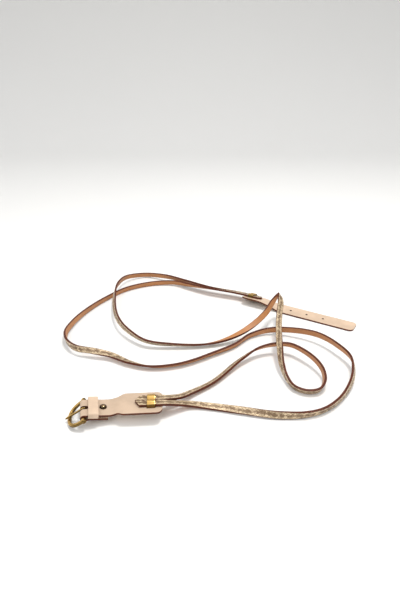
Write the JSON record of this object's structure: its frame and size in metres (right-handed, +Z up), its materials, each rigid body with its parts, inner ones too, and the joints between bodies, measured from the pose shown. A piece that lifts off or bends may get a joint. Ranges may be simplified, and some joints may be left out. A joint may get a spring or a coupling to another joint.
{
  "type": "two-strand leather brace",
  "caption": "Slim two-strand leather brace with a buckle tab at one end and a punched billet at the other, lying in loose loops.",
  "frame": {"origin": "on the table, under the middle of the two end pieces taken together, strands left out", "axes": "+Z up from the table; -Y towards the buckle end, +Y towards the billet end; +X to the right seen from the buckle end"},
  "size_m": [0.3615, 0.3529, 0.0363],
  "materials": {
    "nude_leather": "smooth pinkish beige, dark painted edges",
    "tan_lining": "matt tan lining",
    "gold_print_leather": "pale gold metallic scale print",
    "gold_plate": "polished gold",
    "antique_brass": "darkened, polished"
  },
  "bodies": {
    "brace": {"buckle_tab": "nude_leather", "billet_tab": "nude_leather", "strand_a_face": "gold_print_leather", "strand_a_lining": "tan_lining", "strand_b_face": "gold_print_leather", "strand_b_lining": "tan_lining", "near_clamp": "gold_plate", "near_clamp_plate": "gold_plate", "far_clamp": "gold_plate", "far_clamp_plate": "gold_plate", "rivet_cap": "antique_brass", "rivet_post": "antique_brass"},
    "buckle": {"buckle_frame": "gold_plate", "buckle_bar": "gold_plate"},
    "prong": {"buckle_prong": "gold_plate"},
    "keeper": {"keeper_loop": "nude_leather"}
  },
  "joints": [
    {"name": "buckle_hinge", "type": "hinge", "parent": "brace", "child": "buckle", "pos_m": [-0.143, -0.1226, 0.01], "axis": [-0.225, 0.9744, 0], "range_deg": [-43, 56]},
    {"name": "prong_hinge", "type": "hinge", "parent": "buckle", "child": "prong", "pos_m": [-0.143, -0.1226, 0.01], "axis": [-0.225, 0.9744, 0], "range_deg": [0, 62]},
    {"name": "keeper_slide", "type": "slide", "parent": "brace", "child": "keeper", "axis": [0.9624, 0.2222, -0.1564], "range_m": [0, 0.0008]}
  ]
}
